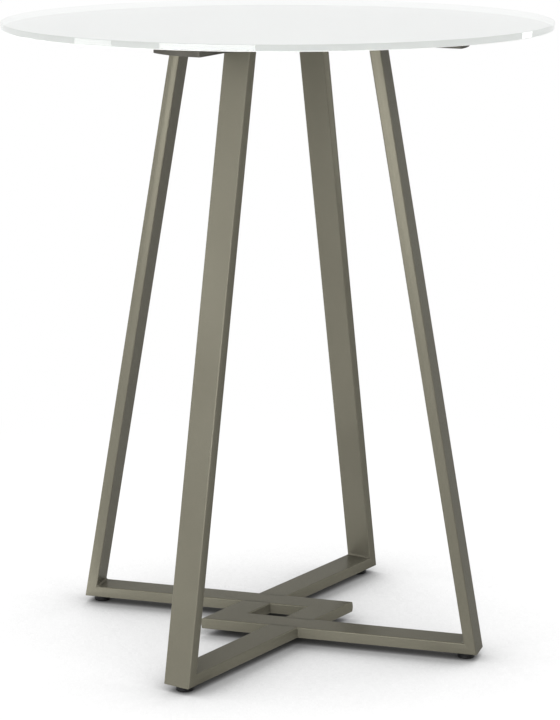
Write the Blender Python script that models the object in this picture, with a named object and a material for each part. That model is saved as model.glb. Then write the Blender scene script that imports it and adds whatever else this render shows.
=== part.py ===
# Bar table: a round glass top on four leaning legs.
# Two V-shaped tube frames are interlocked, so that their bars cross near the middle of the floor and
# again under the glass. Each V has its tip on the X axis and one leg at the end of each arm.
# The floor is at Z = 0, the table's axis is the Z axis, and the front of the table faces -Y.

import math

import bmesh
import bpy
from mathutils import Matrix, Vector

# Overall sizes, in metres and degrees
TABLE_HEIGHT = 1.050
GLASS_DIAMETER = 0.910
GLASS_THICKNESS = 0.010
GLASS_EDGE_BEVEL = 0.0010
FILM_THICKNESS = 0.0004
FILM_MARGIN = 0.0010

# Rectangular tube that the whole frame is made of
TUBE_WIDTH = 0.050
TUBE_DEPTH = 0.019
TUBE_WALL = 0.002
TUBE_CORNER_RADIUS = 0.003

# Plan of the two V frames
ARM_ANGLE = 36.3
TIP_OFFSET = 0.0963
FOOT_REACH = 0.4488
LEG_LEAN = 9.86

# Fan-shaped supports that reach out from the leg tops under the glass
SUPPORT_REACH = 0.147
SUPPORT_NEAR_ANGLE = 10.8
SUPPORT_FAR_ANGLE = 32.0
SUPPORT_ROOT_NEAR = 0.008
SUPPORT_ROOT_FAR = 0.022
SUPPORT_WALL = 0.0025
SUPPORT_CORNER_RADIUS = 0.004

# Clear bumpers between the frame and the glass
BUMPER_DIAMETER = 0.020
BUMPER_HEIGHT = 0.0018
BUMPER_EDGE_BEVEL = 0.0005
BUMPER_ON_SUPPORT = 0.105
BUMPER_ON_BAR = 0.060

# Screw glides under the feet
GLIDE_HEIGHT = 0.0118
GLIDE_DIAMETER = 0.029
GLIDE_FOOT_BEVEL = 0.0020
GLIDE_TOP_BEVEL = 0.0008
GLIDE_INSET = 0.0235
GLIDE_SOCKET_FLOOR = 0.0030
STUD_DIAMETER = 0.008
STUD_END_BEVEL = 0.0007
STUD_TOP_CLEARANCE = 0.0015
NUT_ACROSS_FLATS = 0.013
NUT_HEIGHT = 0.0065

# Clearances
GAP = 0.0003
THREAD_CLEARANCE = 0.00025
SOCKET_CLEARANCE = 0.0003
HOLE_CLEARANCE = 0.0005
CUTTER_OVERSHOOT = 0.001

# Facets of the round shapes
GLASS_STEPS = 192
GLIDE_STEPS = 48
BUMPER_STEPS = 32
SCREW_STEPS = 24
TUBE_CORNER_STEPS = 3
SUPPORT_ARC_STEPS = 16
SUPPORT_CORNER_STEPS = 3
SMOOTH_BELOW = math.radians(35)

# Heights that follow from the sizes above
GLASS_UNDERSIDE = TABLE_HEIGHT - GLASS_THICKNESS
FILM_UNDERSIDE = GLASS_UNDERSIDE - GAP - FILM_THICKNESS
BUMPER_UNDERSIDE = FILM_UNDERSIDE - GAP - BUMPER_HEIGHT
TOP_BAR_TOP = BUMPER_UNDERSIDE - GAP
TOP_BAR_UNDERSIDE = TOP_BAR_TOP - TUBE_DEPTH
BASE_BAR_UNDERSIDE = GLIDE_HEIGHT + GAP
BASE_BAR_TOP = BASE_BAR_UNDERSIDE + TUBE_DEPTH
NUT_UNDERSIDE = BASE_BAR_UNDERSIDE + TUBE_WALL + GAP
STUD_UNDERSIDE = GLIDE_SOCKET_FLOOR + GAP
STUD_TOP = BASE_BAR_TOP - TUBE_WALL - STUD_TOP_CLEARANCE

# Directions that follow from the angles above
ARM_COS = math.cos(math.radians(ARM_ANGLE))
ARM_SIN = math.sin(math.radians(ARM_ANGLE))
LEAN_COS = math.cos(math.radians(LEG_LEAN))
LEAN_SIN = math.sin(math.radians(LEG_LEAN))
LEAN_TAN = math.tan(math.radians(LEG_LEAN))
UP = Vector((0, 0, 1))


def clear_scene():
    """Remove whatever the file holds."""
    for item in list(bpy.data.objects):
        bpy.data.objects.remove(item)


def make_material(name, colour, roughness, metallic, transmission=0.0):
    """A Principled BSDF material with plain values."""
    material = bpy.data.materials.new(name)
    material.use_nodes = True
    shader = material.node_tree.nodes["Principled BSDF"]
    shader.inputs["Base Color"].default_value = (*colour, 1.0)
    shader.inputs["Roughness"].default_value = roughness
    shader.inputs["Metallic"].default_value = metallic
    shader.inputs["Transmission Weight"].default_value = transmission
    material.diffuse_color = (*colour, 1.0)
    return material


def make_materials():
    """The finishes: coated steel, glass, film, plastic, silicone and plated steel."""
    return {
        "frame": make_material("taupe powder coat", (0.22, 0.21, 0.17), 0.42, 0.35),
        "support": make_material("dark powder coat", (0.16, 0.155, 0.14), 0.45, 0.35),
        "glass": make_material("clear glass", (0.86, 0.93, 0.90), 0.02, 0.0, 1.0),
        "film": make_material("white film", (0.88, 0.88, 0.87), 0.35, 0.0),
        "bumper": make_material("clear silicone", (0.85, 0.87, 0.86), 0.25, 0.0, 0.8),
        "glide": make_material("black plastic", (0.02, 0.02, 0.02), 0.5, 0.0),
        "plated": make_material("zinc plated steel", (0.62, 0.62, 0.60), 0.3, 1.0),
    }


def skin(name, rings, closed, material, place):
    """Join each ring of points to the next, and close the shape on its first ring or with two caps."""
    shape = bmesh.new()
    loops = [[shape.verts.new(point) for point in ring] for ring in rings]
    followers = loops[1:]
    if closed:
        followers = loops[1:] + loops[:1]
    for loop, following in zip(loops, followers):
        for index in range(len(loop)):
            shape.faces.new((loop[index - 1], loop[index], following[index], following[index - 1]))
    if not closed:
        shape.faces.new(loops[0])
        shape.faces.new(loops[-1])
    bmesh.ops.recalc_face_normals(shape, faces=shape.faces)
    mesh = bpy.data.meshes.new(name)
    shape.to_mesh(mesh)
    shape.free()
    mesh.shade_smooth()
    mesh.set_sharp_from_angle(angle=SMOOTH_BELOW)
    mesh.materials.append(material)
    piece = bpy.data.objects.new(name, mesh)
    bpy.context.scene.collection.objects.link(piece)
    piece.matrix_world = place
    return piece


def circle(radius, height, steps):
    """Points of a level circle about the Z axis."""
    points = []
    for step in range(steps):
        angle = math.tau * step / steps
        points.append(Vector((radius * math.cos(angle), radius * math.sin(angle), height)))
    return points


def hexagon(across_flats, height, steps):
    """Points of a level hexagon about the Z axis, at the same angles as a circle's points."""
    points = []
    side = math.tau / 6
    for step in range(steps):
        angle = math.tau * step / steps
        from_flat = (angle % side) - side / 2
        radius = across_flats / 2 / math.cos(from_flat)
        points.append(Vector((radius * math.cos(angle), radius * math.sin(angle), height)))
    return points


def turned(name, profile, steps, material, centre):
    """A solid turned about a vertical axis, from a profile of radius and height with flat ends."""
    rings = [circle(radius, height, steps) for radius, height in profile]
    return skin(name, rings, False, material, Matrix.Translation(centre))


def disc_profile(radius, height, bevel):
    """Profile of a disc whose two rims are bevelled."""
    return [(radius - bevel, 0), (radius, bevel), (radius, height - bevel), (radius - bevel, height)]


def tube_section(inset):
    """Cross-section of the tube as a rounded rectangle, drawn in from the outside by the inset."""
    radius = TUBE_CORNER_RADIUS - inset
    points = []
    for turn, (side, level) in enumerate(((1, 1), (-1, 1), (-1, -1), (1, -1))):
        middle_y = side * (TUBE_WIDTH / 2 - TUBE_CORNER_RADIUS)
        middle_z = level * (TUBE_DEPTH / 2 - TUBE_CORNER_RADIUS)
        for step in range(TUBE_CORNER_STEPS + 1):
            angle = math.radians(90) * (turn + step / TUBE_CORNER_STEPS)
            points.append((middle_y + radius * math.cos(angle), middle_z + radius * math.sin(angle)))
    return points


def tube(name, place, first_cut, last_cut, material):
    """A hollow tube along the X axis of its place, cut at each end by a plane and open there."""
    along = place.col[0].to_3d()
    across = place.col[1].to_3d()
    upward = place.col[2].to_3d()

    def ring(inset, cut):
        point_on_cut, normal = cut
        points = []
        for y, z in tube_section(inset):
            beside = place.translation + across * y + upward * z
            reach = (point_on_cut - beside).dot(normal) / along.dot(normal)
            points.append(Vector((reach, y, z)))
        return points

    rings = [ring(0, first_cut), ring(0, last_cut), ring(TUBE_WALL, last_cut), ring(TUBE_WALL, first_cut)]
    return skin(name, rings, True, material, place)


def axes_at(origin, along, across):
    """A right-handed place whose X axis runs along and whose Y axis runs across."""
    place = Matrix((along, across, along.cross(across))).transposed().to_4x4()
    place.translation = origin
    return place


class Corner:
    """One of the four corners of the table: an arm of a V frame, its leg and its foot."""

    def __init__(self, row, side_y, column, side_x):
        self.name = f"{row}_{column}"
        self.side_x = side_x
        self.side_y = side_y
        self.outward = Vector((side_x * ARM_COS, side_y * ARM_SIN, 0))
        self.across = UP.cross(self.outward)
        self.tip = Vector((-side_x * TIP_OFFSET, 0, 0))
        # The two arms that stay whole lie on one diagonal, and the other two are cut where they cross them
        self.is_split = side_x == side_y

    def at(self, reach, height):
        """A point on the arm's centre plane, by its distance from the tip and its height."""
        return self.tip + self.outward * reach + UP * height

    def tilted(self, outward_part, upward_part):
        """A unit direction in the arm's vertical plane."""
        return (self.outward * outward_part + UP * upward_part).normalized()

    def leg_face(self, height):
        """How far the leg's outer face is from the tip at a height."""
        return FOOT_REACH - (height - BASE_BAR_UNDERSIDE) * LEAN_TAN

    def support_origin(self):
        """How far the leg's centre is from the tip at the underside of the support."""
        return self.leg_face(TOP_BAR_UNDERSIDE) - TUBE_DEPTH / 2 / LEAN_COS

    def tip_cut(self):
        """The mitre between the two arms of a V, on the X axis."""
        return (Vector((0, self.side_y * GAP / 2, 0)), Vector((0, 1, 0)))

    def crossing_cut(self, beyond):
        """The side of the whole arm that this arm meets, before it or beyond it."""
        normal = Vector((self.side_x * ARM_SIN, self.side_y * ARM_COS, 0))
        side = 1 if beyond else -1
        return (-self.tip + normal * side * (TUBE_WIDTH / 2 + GAP), normal)

    def foot_cut(self, side):
        """The mitre between the base bar and the leg, on the bar's side (-1) or the leg's (1)."""
        normal = self.tilted(1 - LEAN_SIN, LEAN_COS)
        return (self.at(FOOT_REACH, BASE_BAR_UNDERSIDE) + normal * side * GAP / 2, normal)

    def head_cut(self, side):
        """The mitre between the leg and the top bar, on the leg's side (-1) or the bar's (1)."""
        normal = self.tilted(-1 - LEAN_SIN, LEAN_COS)
        return (self.at(self.leg_face(TOP_BAR_TOP), TOP_BAR_TOP) + normal * side * GAP / 2, normal)


def make_arm(corner, level, underside, end_cut, material):
    """The arm of one corner at the floor or under the glass, in one piece or in two around a crossing."""
    place = axes_at(corner.at(0, underside + TUBE_DEPTH / 2), corner.outward, corner.across)
    if not corner.is_split:
        return tube(f"{level}_bar_{corner.name}", place, corner.tip_cut(), end_cut, material)
    tube(f"{level}_bar_{corner.name}_inner", place, corner.tip_cut(), corner.crossing_cut(False), material)
    return tube(f"{level}_bar_{corner.name}_outer", place, corner.crossing_cut(True), end_cut, material)


def make_leg(corner, material):
    """The leaning leg, mitred to the base bar at its foot and to the top bar at its head."""
    along = corner.tilted(-LEAN_SIN, LEAN_COS)
    inward = corner.tilted(-LEAN_COS, -LEAN_SIN)
    foot = corner.at(FOOT_REACH, BASE_BAR_UNDERSIDE) + inward * TUBE_DEPTH / 2
    place = axes_at(foot, along, corner.across)
    return tube(f"leg_{corner.name}", place, corner.foot_cut(1), corner.head_cut(-1), material)


def support_root(height):
    """Where the support starts, just clear of the leg's outer face, at a height over its underside."""
    return (TUBE_DEPTH / 2 + GAP) / LEAN_COS - height * LEAN_TAN


def line_to_arc(root_y, angle, inset):
    """A straight edge of the fan, drawn in by the inset: its start, its direction and its end on the arc."""
    root = Vector((support_root(0), root_y))
    angle = math.radians(angle)
    corner = SUPPORT_REACH * Vector((math.cos(angle), math.sin(angle)))
    direction = (corner - root).normalized()
    inward = Vector((direction.y, -direction.x)) * math.copysign(inset, angle)
    start = root + inward
    along = start.dot(direction)
    radius = SUPPORT_REACH - inset
    run = math.sqrt(along ** 2 - start.length_squared + radius ** 2) - along
    return start, direction, start + direction * run


def support_outline(height, inset, root_overshoot, mirror):
    """Outline of the fan at one height over its underside, from one root round the arc to the other."""
    near = line_to_arc(SUPPORT_ROOT_NEAR, SUPPORT_NEAR_ANGLE, inset)
    far = line_to_arc(-SUPPORT_ROOT_FAR, -SUPPORT_FAR_ANGLE, inset)
    root_x = support_root(height) - root_overshoot
    roots = []
    arc_angles = []
    for start, direction, end in (near, far):
        roots.append(start + direction * (root_x - start.x) / direction.x)
        arc_angles.append(math.atan2(end.y, end.x))
    first_angle, last_angle = arc_angles
    outline = [roots[0]]
    for step in range(SUPPORT_ARC_STEPS + 1):
        angle = first_angle + (last_angle - first_angle) * step / SUPPORT_ARC_STEPS
        outline.append((SUPPORT_REACH - inset) * Vector((math.cos(angle), math.sin(angle))))
    outline.append(roots[1])
    return [Vector((point.x, point.y * mirror, height)) for point in outline]


def round_outer_corners(piece, radius):
    """Round the two upright edges where the fan's straight sides meet its arc."""
    shape = bmesh.new()
    shape.from_mesh(piece.data)
    upright = []
    for edge in shape.edges:
        first, second = edge.verts
        is_upright = (first.co - second.co).cross(UP).length < GAP
        if is_upright and edge.calc_face_angle() > SMOOTH_BELOW:
            upright.append(edge)
    bmesh.ops.bevel(
        shape,
        geom=upright,
        offset=radius,
        segments=SUPPORT_CORNER_STEPS,
        profile=0.5,
        affect="EDGES",
        clamp_overlap=True,
    )
    shape.to_mesh(piece.data)
    shape.free()


def cut_away(piece, cutter):
    """Cut one object out of another, and keep the cutter out of sight."""
    cutter.hide_render = True
    cutter.display_type = "WIRE"
    modifier = piece.modifiers.new("cut", "BOOLEAN")
    modifier.operation = "DIFFERENCE"
    modifier.solver = "EXACT"
    modifier.object = cutter


def make_support(corner, material):
    """The hollow fan-shaped support that butts on the leg's outer face and is open towards it."""
    mirror = corner.side_x * corner.side_y
    place = axes_at(corner.at(corner.support_origin(), TOP_BAR_UNDERSIDE), corner.outward, corner.across)
    outer = [support_outline(height, 0, 0, mirror) for height in (0, TUBE_DEPTH)]
    levels = (SUPPORT_WALL, TUBE_DEPTH - SUPPORT_WALL)
    inner = [support_outline(height, SUPPORT_WALL, CUTTER_OVERSHOOT, mirror) for height in levels]
    support = skin(f"top_support_{corner.name}", outer, False, material, place)
    hollow = skin(f"cutter_support_{corner.name}", inner, False, material, place)
    round_outer_corners(support, SUPPORT_CORNER_RADIUS)
    cut_away(support, hollow)


def make_bumpers(corner, material):
    """One clear bumper on the support and one on the top bar."""
    profile = disc_profile(BUMPER_DIAMETER / 2, BUMPER_HEIGHT, BUMPER_EDGE_BEVEL)
    origin = corner.at(corner.support_origin(), BUMPER_UNDERSIDE)
    mirror = corner.side_x * corner.side_y
    middle = math.radians(SUPPORT_NEAR_ANGLE - SUPPORT_FAR_ANGLE) / 2 * mirror
    fan_axis = corner.outward * math.cos(middle) + corner.across * math.sin(middle)
    on_support = origin + fan_axis * BUMPER_ON_SUPPORT
    on_bar = origin - corner.outward * BUMPER_ON_BAR
    turned(f"support_bumper_{corner.name}", profile, BUMPER_STEPS, material, on_support)
    turned(f"bar_bumper_{corner.name}", profile, BUMPER_STEPS, material, on_bar)


def make_glide(corner, bar, materials):
    """The screw glide of one foot: a pad, its threaded stud and the nut welded inside the base bar."""
    centre = corner.at(FOOT_REACH - GLIDE_INSET, 0)
    socket = STUD_DIAMETER / 2 + SOCKET_CLEARANCE
    pad_radius = GLIDE_DIAMETER / 2
    pad = [
        (pad_radius - GLIDE_FOOT_BEVEL, 0),
        (pad_radius, GLIDE_FOOT_BEVEL),
        (pad_radius, GLIDE_HEIGHT - GLIDE_TOP_BEVEL),
        (pad_radius - GLIDE_TOP_BEVEL, GLIDE_HEIGHT),
        (socket, GLIDE_HEIGHT),
        (socket, GLIDE_SOCKET_FLOOR),
    ]
    turned(f"glide_pad_{corner.name}", pad, GLIDE_STEPS, materials["glide"], centre)

    stud = disc_profile(STUD_DIAMETER / 2, STUD_TOP - STUD_UNDERSIDE, STUD_END_BEVEL)
    foot = centre + UP * STUD_UNDERSIDE
    turned(f"glide_stud_{corner.name}", stud, SCREW_STEPS, materials["plated"], foot)

    bore = STUD_DIAMETER / 2 + THREAD_CLEARANCE
    nut = [
        hexagon(NUT_ACROSS_FLATS, 0, SCREW_STEPS),
        hexagon(NUT_ACROSS_FLATS, NUT_HEIGHT, SCREW_STEPS),
        circle(bore, NUT_HEIGHT, SCREW_STEPS),
        circle(bore, 0, SCREW_STEPS),
    ]
    place = axes_at(centre + UP * NUT_UNDERSIDE, corner.outward, corner.across)
    skin(f"glide_nut_{corner.name}", nut, True, materials["plated"], place)

    hole = [
        (STUD_DIAMETER / 2 + HOLE_CLEARANCE, -CUTTER_OVERSHOOT),
        (STUD_DIAMETER / 2 + HOLE_CLEARANCE, TUBE_WALL + CUTTER_OVERSHOOT),
    ]
    under = centre + UP * BASE_BAR_UNDERSIDE
    cutter = turned(f"cutter_hole_{corner.name}", hole, SCREW_STEPS, materials["plated"], under)
    cut_away(bar, cutter)


def make_glass_top(materials):
    """The glass disc and the white film on its underside."""
    glass = disc_profile(GLASS_DIAMETER / 2, GLASS_THICKNESS, GLASS_EDGE_BEVEL)
    turned("glass_top", glass, GLASS_STEPS, materials["glass"], UP * GLASS_UNDERSIDE)
    radius = GLASS_DIAMETER / 2 - FILM_MARGIN
    film = [(radius, 0), (radius, FILM_THICKNESS)]
    turned("glass_backing_film", film, GLASS_STEPS, materials["film"], UP * FILM_UNDERSIDE)


def make_corner(corner, materials):
    """Everything that belongs to one corner of the table."""
    frame = materials["frame"]
    base = make_arm(corner, "base", BASE_BAR_UNDERSIDE, corner.foot_cut(-1), frame)
    make_arm(corner, "top", TOP_BAR_UNDERSIDE, corner.head_cut(1), frame)
    make_leg(corner, frame)
    make_support(corner, materials["support"])
    make_bumpers(corner, materials["bumper"])
    make_glide(corner, base, materials)


def main():
    clear_scene()
    materials = make_materials()
    make_glass_top(materials)
    for row, side_y in (("front", -1), ("back", 1)):
        for column, side_x in (("left", -1), ("right", 1)):
            make_corner(Corner(row, side_y, column, side_x), materials)


main()
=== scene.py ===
# %% [markdown]
# # A tall glass-topped table on crossed tube legs
#
# This lesson dresses a bar table that has already been engineered. The engineering model gives
# every tube, pad and screw its true size and place, and this script gives them the surface that
# the eye sees: rounded tube edges with a satin powder coat, a thick disc of glass that is white
# from behind, and black plastic glides. Each step is a short cell that can be run by itself, in
# order.

import math

import bmesh
import bpy
from mathutils import Matrix, Vector


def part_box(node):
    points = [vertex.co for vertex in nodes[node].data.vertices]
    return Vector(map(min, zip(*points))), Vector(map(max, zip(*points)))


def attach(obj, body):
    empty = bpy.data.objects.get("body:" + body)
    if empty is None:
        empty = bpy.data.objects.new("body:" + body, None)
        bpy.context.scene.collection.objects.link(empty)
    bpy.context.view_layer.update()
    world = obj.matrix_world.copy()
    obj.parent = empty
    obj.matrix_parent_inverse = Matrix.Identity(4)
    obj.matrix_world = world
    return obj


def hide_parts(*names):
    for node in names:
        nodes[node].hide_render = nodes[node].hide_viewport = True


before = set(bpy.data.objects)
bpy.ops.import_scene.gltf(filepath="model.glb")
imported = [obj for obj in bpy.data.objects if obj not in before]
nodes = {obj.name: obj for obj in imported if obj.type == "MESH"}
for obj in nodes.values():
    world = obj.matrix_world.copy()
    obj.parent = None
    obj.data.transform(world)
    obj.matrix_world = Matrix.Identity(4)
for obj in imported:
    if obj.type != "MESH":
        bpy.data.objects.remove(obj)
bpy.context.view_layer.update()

# %% [markdown]
# ## The camera
#
# The photograph was taken with a long lens from a little above the table top, about twenty
# degrees to the left of the table's own front. A long lens far away keeps upright things nearly
# parallel. The camera could be aimed with a constraint, but a real place, a turn and a tilt are
# easier to check against the photograph, so they are set directly: the camera looks along the
# azimuth and is tilted down.

# %% Place the camera
CAMERA_AZIMUTH = math.radians(19.2232)
CAMERA_TILT = math.radians(12.3766)
CAMERA_DISTANCE = 4.1590
CAMERA_SIDESTEP = 0.0037
CAMERA_HEIGHT = 1.3876
CAMERA_LENS = 161.19

view_forward = Vector((math.sin(CAMERA_AZIMUTH), math.cos(CAMERA_AZIMUTH), 0))
view_right = Vector((view_forward.y, -view_forward.x, 0))
camera_data = bpy.data.cameras.new("camera")
camera_data.sensor_fit = "HORIZONTAL"
camera_data.lens = CAMERA_LENS
camera = bpy.data.objects.new("camera", camera_data)
beside = view_right * CAMERA_SIDESTEP - view_forward * CAMERA_DISTANCE
camera.location = beside + Vector((0, 0, CAMERA_HEIGHT))
camera.rotation_euler = (math.radians(90) - CAMERA_TILT, 0, -CAMERA_AZIMUTH)
bpy.context.scene.collection.objects.link(camera)
bpy.context.scene.camera = camera
print("camera at", [round(value, 3) for value in camera.location])

# %% [markdown]
# ## Sizes that the pieces share
#
# The frame is one size of flat tube, 50 by 19 mm, joined by mitres at the floor and under the
# top. The sizes here are the real ones, in metres and degrees. Heights are read from the
# engineered nodes instead of being typed again, so that the visible pieces land on the tubes that
# carry them.

# %% Name the sizes
TUBE_WIDTH = 0.050
TUBE_DEPTH = 0.019
TUBE_EDGE = 0.003
SIDE_CROWN = 0.0012
SIDE_PROUD = 0.0005
ARM_ANGLE = math.radians(36.3)
TIP_OFFSET = 0.0963
FOOT_REACH = 0.4488
LEG_LEAN = math.radians(9.86)
UP = Vector((0, 0, 1))

base_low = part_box("base_bar_back_left")[0].z
base_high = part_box("base_bar_back_left")[1].z
top_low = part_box("top_bar_back_left")[0].z
top_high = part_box("top_bar_back_left")[1].z
print("base bars from", round(base_low, 4), "to", round(base_high, 4))
print("top bars from", round(top_low, 4), "to", round(top_high, 4))

# %% [markdown]
# ## Helpers for clean meshes
#
# Every piece here starts as a bmesh, is shaped by operators and then becomes a mesh that sits at
# the world origin, so that its place is in its vertices. Flat faces beside rounded edges shade
# badly when their normals are averaged, so each piece gets a Weighted Normal modifier, which lets
# the large faces decide. Edges that are really sharp are marked by angle.

# %% Helpers
SHARP_ANGLE = math.radians(35)
SAME_POINT = 0.000001


def every(shape):
    """All the geometry of a bmesh, as the cutting operators want it."""
    return shape.verts[:] + shape.edges[:] + shape.faces[:]


def close_holes(shape):
    """Cap whatever a cut left open."""
    rim = [edge for edge in shape.edges if edge.is_boundary]
    bmesh.ops.holes_fill(shape, edges=rim, sides=0)


def cut(shape, point, outward):
    """Cut off what lies beyond a plane, and cap the cut."""
    bmesh.ops.bisect_plane(
        shape,
        geom=every(shape),
        plane_co=point,
        plane_no=outward,
        clear_outer=True,
    )
    close_holes(shape)


def finish_piece(shape, name, materials, body, node=None, weighted=True):
    """Turn a bmesh into a named piece that rides on a body and may stand for a node."""
    bmesh.ops.remove_doubles(shape, verts=shape.verts, dist=SAME_POINT)
    bmesh.ops.recalc_face_normals(shape, faces=shape.faces)
    mesh = bpy.data.meshes.new(name)
    shape.to_mesh(mesh)
    shape.free()
    for material in materials:
        mesh.materials.append(material)
    mesh.shade_smooth()
    mesh.set_sharp_from_angle(angle=SHARP_ANGLE)
    piece = bpy.data.objects.new(name, mesh)
    bpy.context.scene.collection.objects.link(piece)
    if weighted:
        normals = piece.modifiers.new("flat faces lead", "WEIGHTED_NORMAL")
        normals.keep_sharp = True
    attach(piece, body)
    if node:
        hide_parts(node)
    return piece


print("helpers ready")

# %% [markdown]
# ## The powder coat
#
# The tubes wear a warm grey-green powder coat with a metallic pigment: satin, with soft
# highlights along the rounded edges. Powder melts into a skin that is never quite flat, so a fine
# noise bumps the surface like orange peel, and a second, much finer noise stands for the metal
# flakes, which change the roughness and the tone from point to point. A broad noise keeps long
# tubes from looking like one printed colour. All of it reads Object coordinates in metres, so the
# scale of the pattern is the real one.

# %% Make the powder coat
COAT_TONE = (0.113, 0.107, 0.083)
COAT_TONE_LIGHT = (0.125, 0.119, 0.093)
# The fans under the glass wear the same powder coat as the tubes. These darker, greyer tones are
# a copy of it with the shade that the glass throws on them painted in.
SUPPORT_SHADED_TONE = (0.070, 0.067, 0.058)
SUPPORT_SHADED_TONE_LIGHT = (0.078, 0.075, 0.065)
COAT_METALLIC = 0.30
COAT_GLOSS = 0.02
COAT_EDGE_TINT = (0.30, 0.30, 0.30, 1)
COAT_ROUGHNESS = (0.26, 0.34)
PEEL_SCALE = 420.0
PEEL_DEPTH = 0.00003
FLAKE_SCALE = 2600.0
FLAKE_DEPTH = 0.000004
FLAKE_TONES = (0.90, 1.10)
CLOUD_SCALE = 9.0
CLOUD_SHARE = (0.2, 0.8)
NOISE_LOW = 0.3
NOISE_HIGH = 0.7


def new_material(name):
    """An empty node material, its node tree and its Principled shader."""
    material = bpy.data.materials.new(name)
    material.use_nodes = True
    tree = material.node_tree
    return material, tree, tree.nodes["Principled BSDF"]


def noise_at(tree, coordinates, scale, detail):
    """A noise texture on the given coordinates."""
    noise = tree.nodes.new("ShaderNodeTexNoise")
    noise.inputs["Scale"].default_value = scale
    noise.inputs["Detail"].default_value = detail
    tree.links.new(coordinates, noise.inputs["Vector"])
    return noise.outputs["Fac"]


def spread(tree, value, span):
    """Map a noise, which stays near one half, to a span of values."""
    mapping = tree.nodes.new("ShaderNodeMapRange")
    mapping.inputs["From Min"].default_value = NOISE_LOW
    mapping.inputs["From Max"].default_value = NOISE_HIGH
    mapping.inputs["To Min"].default_value = span[0]
    mapping.inputs["To Max"].default_value = span[1]
    tree.links.new(value, mapping.inputs["Value"])
    return mapping.outputs["Result"]


def blend_colours(tree, factor, dark, light):
    """A colour between two tones."""
    mix = tree.nodes.new("ShaderNodeMix")
    mix.data_type = "RGBA"
    mix.inputs["A"].default_value = (*dark, 1)
    mix.inputs["B"].default_value = (*light, 1)
    tree.links.new(factor, mix.inputs["Factor"])
    return mix.outputs["Result"]


def add_bump(tree, shader, heights):
    """Chain bumps of given height maps and depths into the shader's normal."""
    previous = None
    for height, depth in heights:
        bump = tree.nodes.new("ShaderNodeBump")
        bump.inputs["Distance"].default_value = depth
        tree.links.new(height, bump.inputs["Height"])
        if previous:
            tree.links.new(previous, bump.inputs["Normal"])
        previous = bump.outputs["Normal"]
    tree.links.new(previous, shader.inputs["Normal"])


def object_coordinates(tree):
    """Metres on the piece itself."""
    return tree.nodes.new("ShaderNodeTexCoord").outputs["Object"]


def powder_coat(name, dark, light):
    """Satin metallic powder coat: cloudy tone, fine flakes and orange peel."""
    material, tree, shader = new_material(name)
    place = object_coordinates(tree)
    cloud = noise_at(tree, place, CLOUD_SCALE, 3)
    flake = noise_at(tree, place, FLAKE_SCALE, 1)
    peel = noise_at(tree, place, PEEL_SCALE, 2)
    tone = blend_colours(tree, spread(tree, cloud, CLOUD_SHARE), dark, light)
    glint = tree.nodes.new("ShaderNodeMix")
    glint.data_type = "RGBA"
    glint.blend_type = "MULTIPLY"
    glint.inputs["Factor"].default_value = 1.0
    tree.links.new(tone, glint.inputs["A"])
    tree.links.new(spread(tree, flake, FLAKE_TONES), glint.inputs["B"])
    tree.links.new(glint.outputs["Result"], shader.inputs["Base Color"])
    tree.links.new(spread(tree, flake, COAT_ROUGHNESS), shader.inputs["Roughness"])
    add_bump(tree, shader, [(peel, PEEL_DEPTH), (flake, FLAKE_DEPTH)])
    shader.inputs["Metallic"].default_value = COAT_METALLIC
    shader.inputs["Specular IOR Level"].default_value = COAT_GLOSS
    shader.inputs["Specular Tint"].default_value = COAT_EDGE_TINT
    return material


coat = powder_coat("taupe_powder_coat", COAT_TONE, COAT_TONE_LIGHT)
# The fans get the darker copy of the coat: painted shade from the glass above them.
support_coat_painted_shade = powder_coat("powder_coat_painted_shade", SUPPORT_SHADED_TONE, SUPPORT_SHADED_TONE_LIGHT)
print("made", coat.name, "and", support_coat_painted_shade.name)

# %% [markdown]
# ## The four corners
#
# The frame is two V shapes laid over each other. Each V has its tip on the table's X axis and
# sends one arm to a front leg and one to a back leg, and the two Vs point at each other, so that
# their arms cross. A corner is fully described by the sides of the table that it lies on, and
# every mitre is a plane that follows from the angles.

# %% Describe a corner


class Corner:
    """One arm of a V, seen from the tip of the V outwards."""

    def __init__(self, row, side_y, column, side_x):
        self.name = f"{row}_{column}"
        self.side_x = side_x
        self.side_y = side_y
        self.outward = Vector((side_x * math.cos(ARM_ANGLE), side_y * math.sin(ARM_ANGLE), 0))
        self.across = UP.cross(self.outward)
        self.tip = Vector((-side_x * TIP_OFFSET, 0, 0))
        self.is_split = side_x == side_y
        self.hand = side_x * side_y

    def at(self, reach, height):
        """A point of the arm's centre plane."""
        return self.tip + self.outward * reach + UP * height

    def tilted(self, outward_part, upward_part):
        """A unit direction in the arm's upright plane."""
        return (self.outward * outward_part + UP * upward_part).normalized()

    def leg_face(self, height):
        """How far the leg's outer face is from the tip at a height."""
        return FOOT_REACH - (height - base_low) * math.tan(LEG_LEAN)

    def tip_plane(self):
        """The mitre on the X axis between the two arms of a V."""
        return Vector((0, 0, 0)), Vector((0, -self.side_y, 0))

    def crossing_plane(self, beyond):
        """Where a cut arm runs onto the flat top of the whole arm that it meets."""
        normal = Vector((self.side_x * math.sin(ARM_ANGLE), self.side_y * math.cos(ARM_ANGLE), 0))
        side = 1 if beyond else -1
        flat_half = TUBE_WIDTH / 2 - TUBE_EDGE + SIDE_PROUD - SIDE_CROWN
        return -self.tip + normal * side * flat_half, normal * -side

    def foot_plane(self):
        """The mitre between base bar and leg, facing out of the bar."""
        normal = self.tilted(1 - math.sin(LEG_LEAN), math.cos(LEG_LEAN))
        return self.at(FOOT_REACH, base_low), normal

    def head_plane(self):
        """The mitre between leg and top bar, facing out of the leg."""
        normal = self.tilted(-1 - math.sin(LEG_LEAN), math.cos(LEG_LEAN))
        return self.at(self.leg_face(top_high), top_high), normal


corners = []
for row, side_y in (("front", -1), ("back", 1)):
    for column, side_x in (("left", -1), ("right", 1)):
        corners.append(Corner(row, side_y, column, side_x))
print("corners:", [corner.name for corner in corners])

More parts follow.
